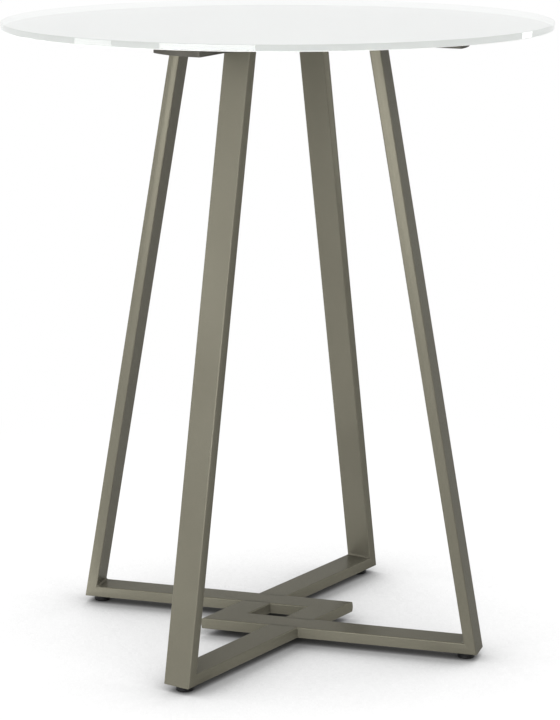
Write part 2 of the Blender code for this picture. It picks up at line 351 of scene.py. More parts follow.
# %% [markdown]
# ## The tubes
#
# Rolled tube has rounded long edges, and they catch the light as thin bright lines, so the
# rounding matters more than anything else on the frame. A curve with a rounded profile would make
# a tube too, but its ends could not be mitred exactly. Here a plain block is stretched along the
# arm, its four long edges are bevelled, and planes cut it to length at the mitres. The joints on
# the real table are ground flush under the coat, so neighbours share the same plane, and an arm
# that butts on another runs on as far as the flat part of its top, as a filled weld does.
#
# The narrow sides of rolled tube are not quite flat either: they swell by about a millimetre, so
# a soft box fades across them instead of filling them with one tone. A few cuts along the block
# give the side points to move, and each point is pushed out by a parabola over the depth of the
# tube.

# %% Make the tubes
EDGE_SEGMENTS = 6
ROUGH_LENGTH = 3.0
CROWN_LOOPS = (-0.0048, -0.0024, 0.0, 0.0024, 0.0048)
CROWN_FROM = TUBE_WIDTH / 2 - TUBE_EDGE * 1.01


def crown_sides(shape):
    """Let the narrow sides of the section swell between their rounded edges."""
    for height in CROWN_LOOPS:
        bmesh.ops.bisect_plane(shape, geom=every(shape), plane_co=UP * height, plane_no=UP)
    for vert in shape.verts:
        if abs(vert.co.y) > CROWN_FROM:
            drop = SIDE_CROWN * (vert.co.z / (TUBE_DEPTH / 2)) ** 2
            vert.co.y += math.copysign(SIDE_PROUD - drop, vert.co.y)


def tube_between(node, place, cuts):
    """A tube along the X axis of its place, cut to length by planes that face out of it."""
    shape = bmesh.new()
    bmesh.ops.create_cube(shape, size=1.0)
    bmesh.ops.scale(shape, vec=(ROUGH_LENGTH, TUBE_WIDTH, TUBE_DEPTH), verts=shape.verts)
    long_edges = [edge for edge in shape.edges if edge.calc_length() > ROUGH_LENGTH / 2]
    bmesh.ops.bevel(
        shape,
        geom=long_edges,
        offset=TUBE_EDGE,
        segments=EDGE_SEGMENTS,
        profile=0.5,
        affect="EDGES",
        material=-1,
    )
    crown_sides(shape)
    bmesh.ops.transform(shape, matrix=place, verts=shape.verts)
    for point, outward in cuts:
        cut(shape, point, outward)
    return finish_piece(shape, f"tube_{node}", [coat], "frame", node)


def place_along(origin, along, across):
    """A right-handed place whose X axis runs along and whose Y axis runs across."""
    place = Matrix((along, across, along.cross(across))).transposed().to_4x4()
    place.translation = origin
    return place


def flipped(plane):
    """The same plane, facing the other way."""
    point, normal = plane
    return point, -normal


def make_arm(corner, level, middle, end_plane):
    """The arm of one corner at one level, whole or in two lengths around the crossing."""
    place = place_along(corner.at(0, middle), corner.outward, corner.across)
    node = f"{level}_bar_{corner.name}"
    if not corner.is_split:
        return [tube_between(node, place, [corner.tip_plane(), end_plane])]
    inner_cuts = [corner.tip_plane(), corner.crossing_plane(False)]
    outer_cuts = [corner.crossing_plane(True), end_plane]
    inner = tube_between(f"{node}_inner", place, inner_cuts)
    outer = tube_between(f"{node}_outer", place, outer_cuts)
    return [inner, outer]


def make_leg(corner):
    """The leaning leg between its two mitres."""
    along = corner.tilted(-math.sin(LEG_LEAN), math.cos(LEG_LEAN))
    inward = corner.tilted(-math.cos(LEG_LEAN), -math.sin(LEG_LEAN))
    foot = corner.at(FOOT_REACH, base_low) + inward * TUBE_DEPTH / 2
    place = place_along(foot, along, corner.across)
    cuts = [flipped(corner.foot_plane()), corner.head_plane()]
    return tube_between(f"leg_{corner.name}", place, cuts)


tubes = []
for corner in corners:
    tubes += make_arm(corner, "base", (base_low + base_high) / 2, corner.foot_plane())
    tubes += make_arm(corner, "top", (top_low + top_high) / 2, flipped(corner.head_plane()))
    tubes.append(make_leg(corner))
print("tubes:", len(tubes), "faces:", sum(len(tube.data.polygons) for tube in tubes))

# %% [markdown]
# ## The welds in the inner corners
#
# Where a leg meets a bar the joint is ground flush outside, but inside it stays as a small hollow
# fillet, and that fillet catches the light as a bright line across the corner. The two tubes are
# separate pieces, so a bevel can't join them. Each fillet is a piece of its own instead: one
# point is spun into the hollow arc of its section, the section is closed by a point that bites a
# little into the metal, and the whole is extruded across the tube.

# %% Make the welds
WELD_RADIUS = 0.0032
WELD_BITE = 0.0003
WELD_STEPS = 8
WELD_END_INSET = 0.0021
WELD_HALF = TUBE_WIDTH / 2 - WELD_END_INSET


def make_weld(name, corner, inside, along_bar, along_leg):
    """A hollow fillet between the flat faces of a bar and a leg."""
    opening = along_bar.angle(along_leg)
    middle = (along_bar + along_leg).normalized()
    start = inside - corner.across * WELD_HALF
    shape = bmesh.new()
    first = shape.verts.new(start + along_bar * WELD_RADIUS / math.tan(opening / 2))
    bmesh.ops.spin(
        shape,
        geom=[first],
        cent=start + middle * WELD_RADIUS / math.sin(opening / 2),
        axis=along_bar.cross(along_leg).normalized(),
        angle=opening - math.pi,
        steps=WELD_STEPS,
    )
    shape.verts.new(start - middle * WELD_BITE)
    section = shape.faces.new(shape.verts[:])
    grown = bmesh.ops.extrude_face_region(shape, geom=[section])
    far_points = [item for item in grown["geom"] if isinstance(item, bmesh.types.BMVert)]
    bmesh.ops.translate(shape, verts=far_points, vec=corner.across * WELD_HALF * 2)
    return finish_piece(shape, name, [coat], "frame")


welds = []
for corner in corners:
    inner_shift = TUBE_DEPTH / math.cos(LEG_LEAN)
    rising = corner.tilted(-math.sin(LEG_LEAN), math.cos(LEG_LEAN))
    foot = corner.at(corner.leg_face(base_high) - inner_shift, base_high)
    head = corner.at(corner.leg_face(top_low) - inner_shift, top_low)
    welds.append(make_weld(f"weld_foot_{corner.name}", corner, foot, -corner.outward, rising))
    welds.append(make_weld(f"weld_head_{corner.name}", corner, head, -corner.outward, -rising))
print("welds:", len(welds), "faces each:", len(welds[0].data.polygons))

# %% [markdown]
# ## The fan-shaped supports
#
# A flat fan reaches out from the top of each leg to carry the overhanging glass. Its plan is a
# slice of a disc, so it is made as one: a disc about the leg's axis, given its depth and cut by
# two upright planes for the straight sides and by the leaning face of the leg. Bevels then round
# the two upright corners and ease every other edge. A corner's bevel can end a hair beside a step
# of the arc, so such near neighbours are merged before the next bevel.

# %% Make the supports
SUPPORT_REACH = 0.147
SUPPORT_NEAR_ANGLE = math.radians(10.8)
SUPPORT_FAR_ANGLE = math.radians(32.0)
SUPPORT_ROOT_NEAR = 0.008
SUPPORT_ROOT_FAR = 0.022
SUPPORT_CORNER = 0.004
SUPPORT_EASE = 0.0010
SUPPORT_MERGE = 0.0001
SUPPORT_STEPS = 192
SUPPORT_CORNER_STEPS = 6
SUPPORT_EASE_STEPS = 3
SUPPORT_ROOT = TUBE_DEPTH / 2 / math.cos(LEG_LEAN)


def fan_side(root_y, angle):
    """One straight side of the fan as a plane that faces out of it, in the leg's own axes."""
    root = Vector((SUPPORT_ROOT, root_y, 0))
    corner = Vector((SUPPORT_REACH * math.cos(angle), SUPPORT_REACH * math.sin(angle), 0))
    run = (corner - root).normalized()
    outward = Vector((-run.y, run.x, 0)) * math.copysign(1, angle)
    return root, outward


def upright_corners(shape):
    """The upright edges where two sides meet at a real angle."""
    found = []
    for edge in shape.edges:
        first, second = edge.verts
        is_upright = (first.co - second.co).cross(UP).length < SUPPORT_MERGE
        if is_upright and edge.calc_face_angle() > SHARP_ANGLE:
            found.append(edge)
    return found


def make_support(corner):
    """The fan under the glass at one leg."""
    shape = bmesh.new()
    bmesh.ops.create_circle(shape, cap_ends=True, radius=SUPPORT_REACH, segments=SUPPORT_STEPS)
    base = shape.faces[:]
    grown = bmesh.ops.extrude_face_region(shape, geom=base)
    top_points = [item for item in grown["geom"] if isinstance(item, bmesh.types.BMVert)]
    bmesh.ops.translate(shape, verts=top_points, vec=UP * (top_high - top_low))
    leg_face = Vector((-math.cos(LEG_LEAN), 0, -math.sin(LEG_LEAN)))
    planes = [
        fan_side(SUPPORT_ROOT_NEAR, SUPPORT_NEAR_ANGLE),
        fan_side(-SUPPORT_ROOT_FAR, -SUPPORT_FAR_ANGLE),
        (Vector((SUPPORT_ROOT, 0, 0)), leg_face),
    ]
    for point, outward in planes:
        cut(shape, point, outward)
    bmesh.ops.remove_doubles(shape, verts=shape.verts, dist=SAME_POINT)
    outer = [edge for edge in upright_corners(shape) if edge.verts[0].co.x > SUPPORT_REACH / 2]
    bmesh.ops.bevel(
        shape,
        geom=outer,
        offset=SUPPORT_CORNER,
        segments=SUPPORT_CORNER_STEPS,
        profile=0.5,
        affect="EDGES",
        material=-1,
    )
    bmesh.ops.remove_doubles(shape, verts=shape.verts, dist=SUPPORT_MERGE)
    sharp = [edge for edge in shape.edges if edge.calc_face_angle(0) > SHARP_ANGLE]
    rims = [edge for edge in sharp if max(vert.co.x for vert in edge.verts) > TUBE_DEPTH]
    bmesh.ops.bevel(
        shape,
        geom=rims,
        offset=SUPPORT_EASE,
        segments=SUPPORT_EASE_STEPS,
        profile=0.5,
        affect="EDGES",
        material=-1,
    )
    if corner.hand < 0:
        bmesh.ops.scale(shape, vec=(1, -1, 1), verts=shape.verts)
        bmesh.ops.reverse_faces(shape, faces=shape.faces)
    axis = corner.at(corner.leg_face(top_low) - SUPPORT_ROOT, top_low)
    place = place_along(axis, corner.outward, corner.across)
    bmesh.ops.transform(shape, matrix=place, verts=shape.verts)
    node = f"top_support_{corner.name}"
    return finish_piece(shape, f"fan_{node}", [support_coat_painted_shade], "frame", node)


fans = [make_support(corner) for corner in corners]
print("fans:", len(fans), "faces each:", len(fans[0].data.polygons))

# %% [markdown]
# ## Glass that is white from behind
#
# The top is a 10 mm disc of float glass whose underside is enamelled white: the enamel touches
# the glass, so light crosses the glass, scatters on the white and comes back through it. That is
# why the top looks soft and the polished edge looks pale grey-green. So one mesh carries two
# materials: clear glass outside, and white on the face below.
#
# In the photograph the far edge of the disc shows a pale ring as deep as the glass: one looks in
# through the top face and straight out through the edge. Glass that bends the light as strongly
# as a solid block would squeeze that ring to nothing, so the body here lets light pass straight
# through, and a clear coat with the index of glass gives the surface its reflections, which is
# how thin glass is often shaded. Green comes from iron in the glass, and only a long way through
# it shows, which is what a volume shader does.

# %% Make the glass and the white enamel
GLASS_BODY = (0.885, 0.902, 0.890, 1)
GLASS_TINT = (0.62, 0.93, 0.80, 1)
GLASS_DENSITY = 0.35
GLASS_INDEX = 1.5
RIPPLE_SCALE = 14.0
RIPPLE_DEPTH = 0.00002
SMEAR_SCALE = 55.0
SMEAR_ROUGHNESS = (0.0, 0.03)
ENAMEL_TONE = (0.655, 0.66, 0.65)
ENAMEL_TONE_LIGHT = (0.67, 0.675, 0.665)
ENAMEL_ROUGHNESS = (0.50, 0.62)
ENAMEL_CLOUD_SCALE = 6.0
ENAMEL_GRAIN_SCALE = 900.0
ENAMEL_GRAIN_DEPTH = 0.00001
WHOLE = (0.0, 1.0)


def clear_glass(name):
    """Polished float glass with a faint green body."""
    material, tree, shader = new_material(name)
    place = object_coordinates(tree)
    ripple = noise_at(tree, place, RIPPLE_SCALE, 1)
    smear = noise_at(tree, place, SMEAR_SCALE, 3)
    tree.links.new(spread(tree, smear, SMEAR_ROUGHNESS), shader.inputs["Roughness"])
    add_bump(tree, shader, [(ripple, RIPPLE_DEPTH)])
    shader.inputs["Base Color"].default_value = GLASS_BODY
    shader.inputs["IOR"].default_value = 1.0
    shader.inputs["Transmission Weight"].default_value = 1.0
    shader.inputs["Coat Weight"].default_value = 1.0
    shader.inputs["Coat IOR"].default_value = GLASS_INDEX
    shader.inputs["Coat Roughness"].default_value = 0.0
    absorb = tree.nodes.new("ShaderNodeVolumeAbsorption")
    absorb.inputs["Color"].default_value = GLASS_TINT
    absorb.inputs["Density"].default_value = GLASS_DENSITY
    tree.links.new(absorb.outputs["Volume"], tree.nodes["Material Output"].inputs["Volume"])
    return material


def white_enamel(name):
    """Fired white enamel: matt, with the faintest cloud in it."""
    material, tree, shader = new_material(name)
    place = object_coordinates(tree)
    cloud = noise_at(tree, place, ENAMEL_CLOUD_SCALE, 2)
    grain = noise_at(tree, place, ENAMEL_GRAIN_SCALE, 1)
    tone = blend_colours(tree, spread(tree, cloud, WHOLE), ENAMEL_TONE, ENAMEL_TONE_LIGHT)
    tree.links.new(tone, shader.inputs["Base Color"])
    tree.links.new(spread(tree, grain, ENAMEL_ROUGHNESS), shader.inputs["Roughness"])
    add_bump(tree, shader, [(grain, ENAMEL_GRAIN_DEPTH)])
    return material


glass = clear_glass("clear_glass")
enamel = white_enamel("white_enamel")
print("made", glass.name, "and", enamel.name)

# %% [markdown]
# ## The disc itself
#
# A glass disc is cut, ground to a true circle and given a narrow rounded arris on both rims so
# that it doesn't chip. A cylinder would do, but its rims would be razor sharp and catch no light.
# So a filled circle is extruded by the thickness and both rims are bevelled. The face below is
# inset once, and the inner part takes the enamel.

# %% Make the glass disc
GLASS_STEPS = 384
GLASS_ARRIS = 0.0008
ARRIS_STEPS = 3
ENAMEL_INSET = 0.0030

glass_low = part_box("glass_top")[0]
glass_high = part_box("glass_top")[1]
glass_radius = (glass_high.x - glass_low.x) / 2


def turned_disc(radius, low, high, arris, steps):
    """A disc with its two rims rounded."""
    shape = bmesh.new()
    bmesh.ops.create_circle(shape, cap_ends=True, radius=radius, segments=steps)
    bmesh.ops.translate(shape, verts=shape.verts, vec=UP * low)
    grown = bmesh.ops.extrude_face_region(shape, geom=shape.faces[:])
    top_points = [item for item in grown["geom"] if isinstance(item, bmesh.types.BMVert)]
    bmesh.ops.translate(shape, verts=top_points, vec=UP * (high - low))
    rims = [edge for edge in shape.edges if edge.calc_face_angle(0) > SHARP_ANGLE]
    bmesh.ops.bevel(
        shape,
        geom=rims,
        offset=arris,
        segments=ARRIS_STEPS,
        profile=0.5,
        affect="EDGES",
        material=-1,
    )
    return shape


shape = turned_disc(glass_radius, glass_low.z, glass_high.z, GLASS_ARRIS, GLASS_STEPS)
underside = min(shape.faces, key=lambda face: face.calc_center_median().z)
bmesh.ops.inset_region(shape, faces=[underside], thickness=ENAMEL_INSET)
underside.material_index = 1
finish_piece(shape, "glass_disc", [glass, enamel], "frame", "glass_top")
print("glass disc:", round(glass_radius * 2, 3), "m across")

# %% [markdown]
# ## The film, the bumpers and the steel inside
#
# Below the enamel lies a thin protective film. It is a plain disc in the engineered model, and
# its shape is right, so it only gets a finish. The clear bumpers are small domes of soft silicone
# that keep glass and steel apart. The nuts inside the base bars are never seen, but they are real
# pieces, so they get their zinc.

# %% Finish the film and the inner steel
FILM_TONE = (0.80, 0.80, 0.79)
FILM_TONE_LIGHT = (0.84, 0.84, 0.83)
FILM_ROUGHNESS = (0.38, 0.5)
FILM_CLOUD_SCALE = 8.0
STIPPLE_SCALE = 700.0
STIPPLE_DEPTH = 0.00001
ZINC_TONE = (0.52, 0.53, 0.53)
ZINC_TONE_LIGHT = (0.66, 0.66, 0.63)
ZINC_ROUGHNESS = (0.22, 0.4)
SPANGLE_SCALE = 320.0
SPANGLE_DEPTH = 0.000008


def vinyl_film(name):
    """White vinyl with a little sheen and a faint stipple."""
    material, tree, shader = new_material(name)
    place = object_coordinates(tree)
    stipple = noise_at(tree, place, STIPPLE_SCALE, 2)
    cloud = noise_at(tree, place, FILM_CLOUD_SCALE, 2)
    tone = blend_colours(tree, spread(tree, cloud, WHOLE), FILM_TONE, FILM_TONE_LIGHT)
    tree.links.new(tone, shader.inputs["Base Color"])
    tree.links.new(spread(tree, stipple, FILM_ROUGHNESS), shader.inputs["Roughness"])
    add_bump(tree, shader, [(stipple, STIPPLE_DEPTH)])
    return material


def zinc_plate(name):
    """Bright zinc on steel, with the spangle of a plated part."""
    material, tree, shader = new_material(name)
    place = object_coordinates(tree)
    spangle = noise_at(tree, place, SPANGLE_SCALE, 2)
    tone = blend_colours(tree, spread(tree, spangle, WHOLE), ZINC_TONE, ZINC_TONE_LIGHT)
    tree.links.new(tone, shader.inputs["Base Color"])
    tree.links.new(spread(tree, spangle, ZINC_ROUGHNESS), shader.inputs["Roughness"])
    add_bump(tree, shader, [(spangle, SPANGLE_DEPTH)])
    shader.inputs["Metallic"].default_value = 1.0
    return material


def dress(node, material):
    """Give an engineered node a finish of its own."""
    mesh = nodes[node].data
    mesh.materials.clear()
    mesh.materials.append(material)


film = vinyl_film("white_film")
zinc = zinc_plate("zinc_plate")
dress("glass_backing_film", film)
for corner in corners:
    dress(f"glide_nut_{corner.name}", zinc)
print("dressed the film and", len(corners), "nuts")

# %% [markdown]
# ## The bumpers
#
# A bumper is a turned shape: a half outline spun about its axis. The outline starts on the axis
# at the bottom and ends on it at the top, so the spin closes both poles once the doubled points
# are merged.

# %% Make the bumpers
SILICONE_TONE = (0.78, 0.80, 0.80)
SILICONE_TONE_LIGHT = (0.88, 0.89, 0.88)
SILICONE_ROUGHNESS = (0.18, 0.3)
SILICONE_INDEX = 1.41
SILICONE_CLEAR = 0.7
MILK_SCALE = 240.0
BUMPER_STEPS = 40
BUMPER_RIM_STEPS = 8
BUMPER_RIM_SHARE = 0.4
BUMPER_DOME = ((0.60, 0.96), (0.25, 1.0), (0.0, 1.0))
SAME_POLE = 0.000002


def spun(outline, centre, steps):
    """Spin an outline of radius and height about an upright axis."""
    shape = bmesh.new()
    points = [shape.verts.new((radius, 0, height)) for radius, height in outline]
    edges = [shape.edges.new(pair) for pair in zip(points, points[1:])]
    bmesh.ops.spin(
        shape,
        geom=points + edges,
        cent=(0, 0, 0),
        axis=(0, 0, 1),
        angle=math.tau,
        steps=steps,
        use_merge=True,
    )
    bmesh.ops.remove_doubles(shape, verts=shape.verts, dist=SAME_POLE)
    bmesh.ops.translate(shape, verts=shape.verts, vec=centre)
    return shape


def arc(centre_radius, centre_height, radius, first, last, steps):
    """Points of an outline along an arc, by angle from the radial direction."""
    points = []
    for step in range(steps + 1):
        angle = math.radians(first + (last - first) * step / steps)
        across = centre_radius + radius * math.cos(angle)
        points.append((across, centre_height + radius * math.sin(angle)))
    return points


def clear_silicone(name):
    """Soft clear silicone, slightly milky."""
    material, tree, shader = new_material(name)
    place = object_coordinates(tree)
    milk = noise_at(tree, place, MILK_SCALE, 2)
    tone = blend_colours(tree, spread(tree, milk, WHOLE), SILICONE_TONE, SILICONE_TONE_LIGHT)
    tree.links.new(tone, shader.inputs["Base Color"])
    tree.links.new(spread(tree, milk, SILICONE_ROUGHNESS), shader.inputs["Roughness"])
    shader.inputs["IOR"].default_value = SILICONE_INDEX
    shader.inputs["Transmission Weight"].default_value = SILICONE_CLEAR
    return material


silicone = clear_silicone("clear_silicone")


def make_bumper(node):
    """A domed bumper with a soft rim, standing for one engineered disc."""
    low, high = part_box(node)
    middle = (low + high) / 2
    radius = (high.x - low.x) / 2
    height = high.z - low.z
    edge = height * BUMPER_RIM_SHARE
    outline = [(0, 0), (radius - edge, 0)]
    outline += arc(radius - edge, edge, edge, -90, 60, BUMPER_RIM_STEPS)
    outline += [(radius * across, height * up) for across, up in BUMPER_DOME]
    shape = spun(outline, Vector((middle.x, middle.y, low.z)), BUMPER_STEPS)
    name = f"dome_{node}"
    return finish_piece(shape, name, [silicone], "frame", node, weighted=False)


for corner in corners:
    make_bumper(f"support_bumper_{corner.name}")
    make_bumper(f"bar_bumper_{corner.name}")
print("bumpers:", 2 * len(corners))

# %% [markdown]
# ## The black plastic of the glides
#
# Each foot stands on a screw glide whose pad is moulded in black nylon. Moulded plastic takes the
# fine grain of its mould and is scuffed where it slides on floors, so a fine noise bumps it and a
# broader one changes its roughness. A plain black would look like a hole in the picture, so even
# the darkest tone here stays a little above black.

# %% Make the black plastic
PLASTIC_TONE = (0.004, 0.004, 0.0045)
PLASTIC_TONE_LIGHT = (0.010, 0.010, 0.010)
PLASTIC_ROUGHNESS = (0.36, 0.54)
PLASTIC_GLOSS = 0.25
SCUFF_SCALE = 160.0
MOULD_GRAIN_SCALE = 1500.0
MOULD_GRAIN_DEPTH = 0.00001


def moulded_plastic(name):
    """Black nylon with a fine moulded grain."""
    material, tree, shader = new_material(name)
    place = object_coordinates(tree)
    grain = noise_at(tree, place, MOULD_GRAIN_SCALE, 2)
    scuff = noise_at(tree, place, SCUFF_SCALE, 3)
    tone = blend_colours(tree, spread(tree, scuff, WHOLE), PLASTIC_TONE, PLASTIC_TONE_LIGHT)
    tree.links.new(tone, shader.inputs["Base Color"])
    tree.links.new(spread(tree, scuff, PLASTIC_ROUGHNESS), shader.inputs["Roughness"])
    add_bump(tree, shader, [(grain, MOULD_GRAIN_DEPTH)])
    shader.inputs["Specular IOR Level"].default_value = PLASTIC_GLOSS
    return material


plastic = moulded_plastic("black_plastic")
print("made", plastic.name)

# %% [markdown]
# ## The glides
#
# The pad is a turned shape, with a rounded foot, a shallow waist for the fingers and a socket for
# the stud, so it is spun from a half outline as the bumpers are. The stud's thread could be faked
# with a bump, but a real helix also shows in the outline: one three-cornered profile is spun
# round the stud while it climbs by the pitch, over a plain core.

# %% Make the pads and studs
PAD_FOOT = 0.0022
PAD_RIM = 0.0010
PAD_WAIST = 0.0007
PAD_STEPS = 72
PAD_FOOT_STEPS = 6
PAD_RIM_STEPS = 4
WAIST_STARTS = (0.34, 0.42)
WAIST_ENDS = (0.70, 0.78)
SOCKET_RADIUS = 0.0043
SOCKET_FLOOR = 0.0030
THREAD_PITCH = 0.00125
THREAD_DEPTH = 0.00068
THREAD_BITE = 0.0001
THREAD_FILL = 0.92
THREAD_STEPS = 32


def make_pad(corner):
    """The pad, with a waist between its foot and its rim."""
    node = f"glide_pad_{corner.name}"
    low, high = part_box(node)
    middle = (low + high) / 2
    radius = (high.x - low.x) / 2
    height = high.z - low.z
    waist = radius - PAD_WAIST
    outline = [(0, 0), (radius - PAD_FOOT, 0)]
    outline += arc(radius - PAD_FOOT, PAD_FOOT, PAD_FOOT, -80, 0, PAD_FOOT_STEPS)
    outline += [(radius, height * WAIST_STARTS[0]), (waist, height * WAIST_STARTS[1])]
    outline += [(waist, height * WAIST_ENDS[0]), (radius, height * WAIST_ENDS[1])]
    outline += arc(radius - PAD_RIM, height - PAD_RIM, PAD_RIM, 0, 90, PAD_RIM_STEPS)
    outline += [(SOCKET_RADIUS, height), (SOCKET_RADIUS, SOCKET_FLOOR), (0, SOCKET_FLOOR)]
    shape = spun(outline, Vector((middle.x, middle.y, low.z)), PAD_STEPS)
    body = f"pad_{corner.name}"
    return finish_piece(shape, f"turned_{node}", [plastic], body, node)


def make_stud(corner):
    """The stud: a core with bevelled ends and one helical ridge."""
    node = f"glide_stud_{corner.name}"
    low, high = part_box(node)
    middle = (low + high) / 2
    radius = (high.x - low.x) / 2
    core = radius - THREAD_DEPTH
    shape = turned_disc(core, 0, high.z - low.z, THREAD_DEPTH, THREAD_STEPS)
    root = core - THREAD_BITE
    half_ridge = THREAD_PITCH * THREAD_FILL / 2
    ridge = [(root, 0), (radius, half_ridge), (root, half_ridge * 2)]
    points = [shape.verts.new((across, 0, THREAD_PITCH / 2 + height)) for across, height in ridge]
    profile = shape.faces.new(points)
    turns = math.floor((high.z - low.z) / THREAD_PITCH) - 2
    bmesh.ops.spin(
        shape,
        geom=[profile] + profile.edges[:] + points,
        cent=(0, 0, 0),
        axis=(0, 0, 1),
        dvec=UP * THREAD_PITCH / THREAD_STEPS,
        angle=math.tau * turns,
        steps=THREAD_STEPS * turns,
    )
    bmesh.ops.translate(shape, verts=shape.verts, vec=Vector((middle.x, middle.y, low.z)))
    name = f"threaded_{node}"
    body = f"stud_{corner.name}"
    return finish_piece(shape, name, [zinc], body, node, weighted=False)


for corner in corners:
    make_pad(corner)
    make_stud(corner)
print("glides:", len(corners))

# %% [markdown]
# ## Looking and lighting
#
# The table stands on a seamless white floor in front of white. How bright that white looks and
# how much light it throws on the table are two different things, and a studio sets them apart
# with flags and distance. In a render the kind of ray tells them apart: a camera ray, and a
# reflection or a view through glass that hasn't been scattered yet, looks, and every other ray
# collects light. The helper here gives one for looking and nought for lighting.

# %% Tell looking from lighting
ANY_BOUNCE = 0.5


def product(tree, first, second):
    """One value times another."""
    both = tree.nodes.new("ShaderNodeMath")
    both.operation = "MULTIPLY"
    tree.links.new(first, both.inputs[0])
    tree.links.new(second, both.inputs[1])
    return both.outputs[0]


def seen_directly(tree):
    """One where the camera, a reflection or glass looks, and nought where light bounces on."""
    path = tree.nodes.new("ShaderNodeLightPath")
    total = path.outputs["Is Camera Ray"]
    for name in ("Is Glossy Ray", "Is Transmission Ray"):
        larger = tree.nodes.new("ShaderNodeMath")
        larger.operation = "MAXIMUM"
        tree.links.new(total, larger.inputs[0])
        tree.links.new(path.outputs[name], larger.inputs[1])
        total = larger.outputs[0]
    unscattered = tree.nodes.new("ShaderNodeMath")
    unscattered.operation = "LESS_THAN"
    unscattered.inputs[1].default_value = ANY_BOUNCE
    tree.links.new(path.outputs["Diffuse Depth"], unscattered.inputs[0])
    return product(tree, total, unscattered.outputs[0])


print("looking and lighting told apart by the kind of ray")

# %% [markdown]
# ## The floor
#
# The table stands on matt white paper, with one broad, soft shadow under it and next to none from
# single lamps. A plain white sheet would need so much light to become white that the table would
# be too bright. So where it is looked at, the sheet glows, and its shadow is painted: it glows by
# as much of an even white dome as each point can see, which an Ambient Occlusion node measures,
# and a small share of matt paper keeps the lamps' own shadows. Well away from the table it fades
# into pure white, so that no horizon shows. For lighting it is plain matt paper. A camera below
# it looks through it.

# %% Lay the floor
PURE_WHITE = 1.0
FLOOR_SIZE = 60.0
FLOOR_FELT = (0.80, 0.80, 0.80, 1)
FLOOR_ROUGHNESS = 0.8
SHADE_SAMPLES = 16
# How strong and how deep the painted shadow under the table is drawn.
DOME_SHARE = 1.35
DOME_POWER = 1.9
LAMP_SHARE = 0.06
FADE_START = 0.70
FADE_END = 1.60
SHADE_REACH = 4.0


def far_from_table(tree):
    """Nought under the table and one well away from it."""
    distance = tree.nodes.new("ShaderNodeVectorMath")
    distance.operation = "LENGTH"
    tree.links.new(object_coordinates(tree), distance.inputs[0])
    fade = tree.nodes.new("ShaderNodeMapRange")
    fade.interpolation_type = "SMOOTHSTEP"
    fade.inputs["From Min"].default_value = FADE_START
    fade.inputs["From Max"].default_value = FADE_END
    tree.links.new(distance.outputs["Value"], fade.inputs["Value"])
    return fade.outputs["Result"]


def added(tree, first, second):
    """Two shaders on top of each other."""
    total = tree.nodes.new("ShaderNodeAddShader")
    tree.links.new(first, total.inputs[0])
    tree.links.new(second, total.inputs[1])
    return total.outputs[0]


def glow(tree, strength):
    """A plain white emission, with a number or another node for its strength."""
    shader = tree.nodes.new("ShaderNodeEmission")
    if isinstance(strength, float):
        shader.inputs["Strength"].default_value = strength
    else:
        tree.links.new(strength, shader.inputs["Strength"])
    return shader.outputs[0]


def painted_dome_shadow(tree):
    """Glowing paper with a painted shadow: bright in the open, dark where the table hides an even
    white dome.
    """
    cover = tree.nodes.new("ShaderNodeAmbientOcclusion")
    cover.samples = SHADE_SAMPLES
    cover.inputs["Distance"].default_value = SHADE_REACH
    deepened = tree.nodes.new("ShaderNodeMath")
    deepened.operation = "POWER"
    deepened.inputs[1].default_value = DOME_POWER
    tree.links.new(cover.outputs["AO"], deepened.inputs[0])
    share = tree.nodes.new("ShaderNodeMath")
    share.operation = "MULTIPLY"
    share.use_clamp = True
    share.inputs[1].default_value = DOME_SHARE
    tree.links.new(deepened.outputs[0], share.inputs[0])
    return glow(tree, share.outputs[0])


def under_lamps(tree):
    """Matt paper that shows the shadows of the lamps."""
    paper = tree.nodes.new("ShaderNodeBsdfDiffuse")
    paper.inputs["Color"].default_value = (LAMP_SHARE, LAMP_SHARE, LAMP_SHARE, 1)
    return paper.outputs[0]


def chosen(tree, factor, first, second):
    """The first shader where the factor is nought and the second where it is one."""
    mix = tree.nodes.new("ShaderNodeMixShader")
    tree.links.new(factor, mix.inputs["Fac"])
    tree.links.new(first, mix.inputs[1])
    tree.links.new(second, mix.inputs[2])
    return mix.outputs[0]


def seen_from_below(tree):
    """One where the camera is under the floor and looks up at the table through it."""
    side = tree.nodes.new("ShaderNodeNewGeometry")
    path = tree.nodes.new("ShaderNodeLightPath")
    return product(tree, side.outputs["Backfacing"], path.outputs["Is Camera Ray"])


def make_floor():
    """A large level sheet with the table's painted shadow, which turns into pure white farther
    out.
    """
    shape = bmesh.new()
    bmesh.ops.create_grid(shape, x_segments=1, y_segments=1, size=FLOOR_SIZE / 2)
    mesh = bpy.data.meshes.new("floor")
    shape.to_mesh(mesh)
    shape.free()
    material, tree, shader = new_material("pale_floor")
    shader.inputs["Base Color"].default_value = FLOOR_FELT
    shader.inputs["Roughness"].default_value = FLOOR_ROUGHNESS
    near = added(tree, painted_dome_shadow(tree), under_lamps(tree))
    looked_at = chosen(tree, far_from_table(tree), near, glow(tree, PURE_WHITE))
    from_above = chosen(tree, seen_directly(tree), shader.outputs[0], looked_at)
    clear = tree.nodes.new("ShaderNodeBsdfTransparent")
    surface = chosen(tree, seen_from_below(tree), from_above, clear.outputs[0])
    tree.links.new(surface, tree.nodes["Material Output"].inputs["Surface"])
    mesh.materials.append(material)
    floor = bpy.data.objects.new("floor", mesh)
    bpy.context.scene.collection.objects.link(floor)


make_floor()
print("floor laid,", FLOOR_SIZE, "m wide")

# %% [markdown]
# ## The sky
#
# A white studio lights its object from all round, which the world does here at a plain level, a
# little stronger from the sides than from overhead, as light comes off white walls. Where it is
# looked at, straight or in a reflection, it is pure white.

# %% Make the sky
SKY_LOW = 1.00
SKY_HIGH = 0.74
SKY_RISE = 0.9


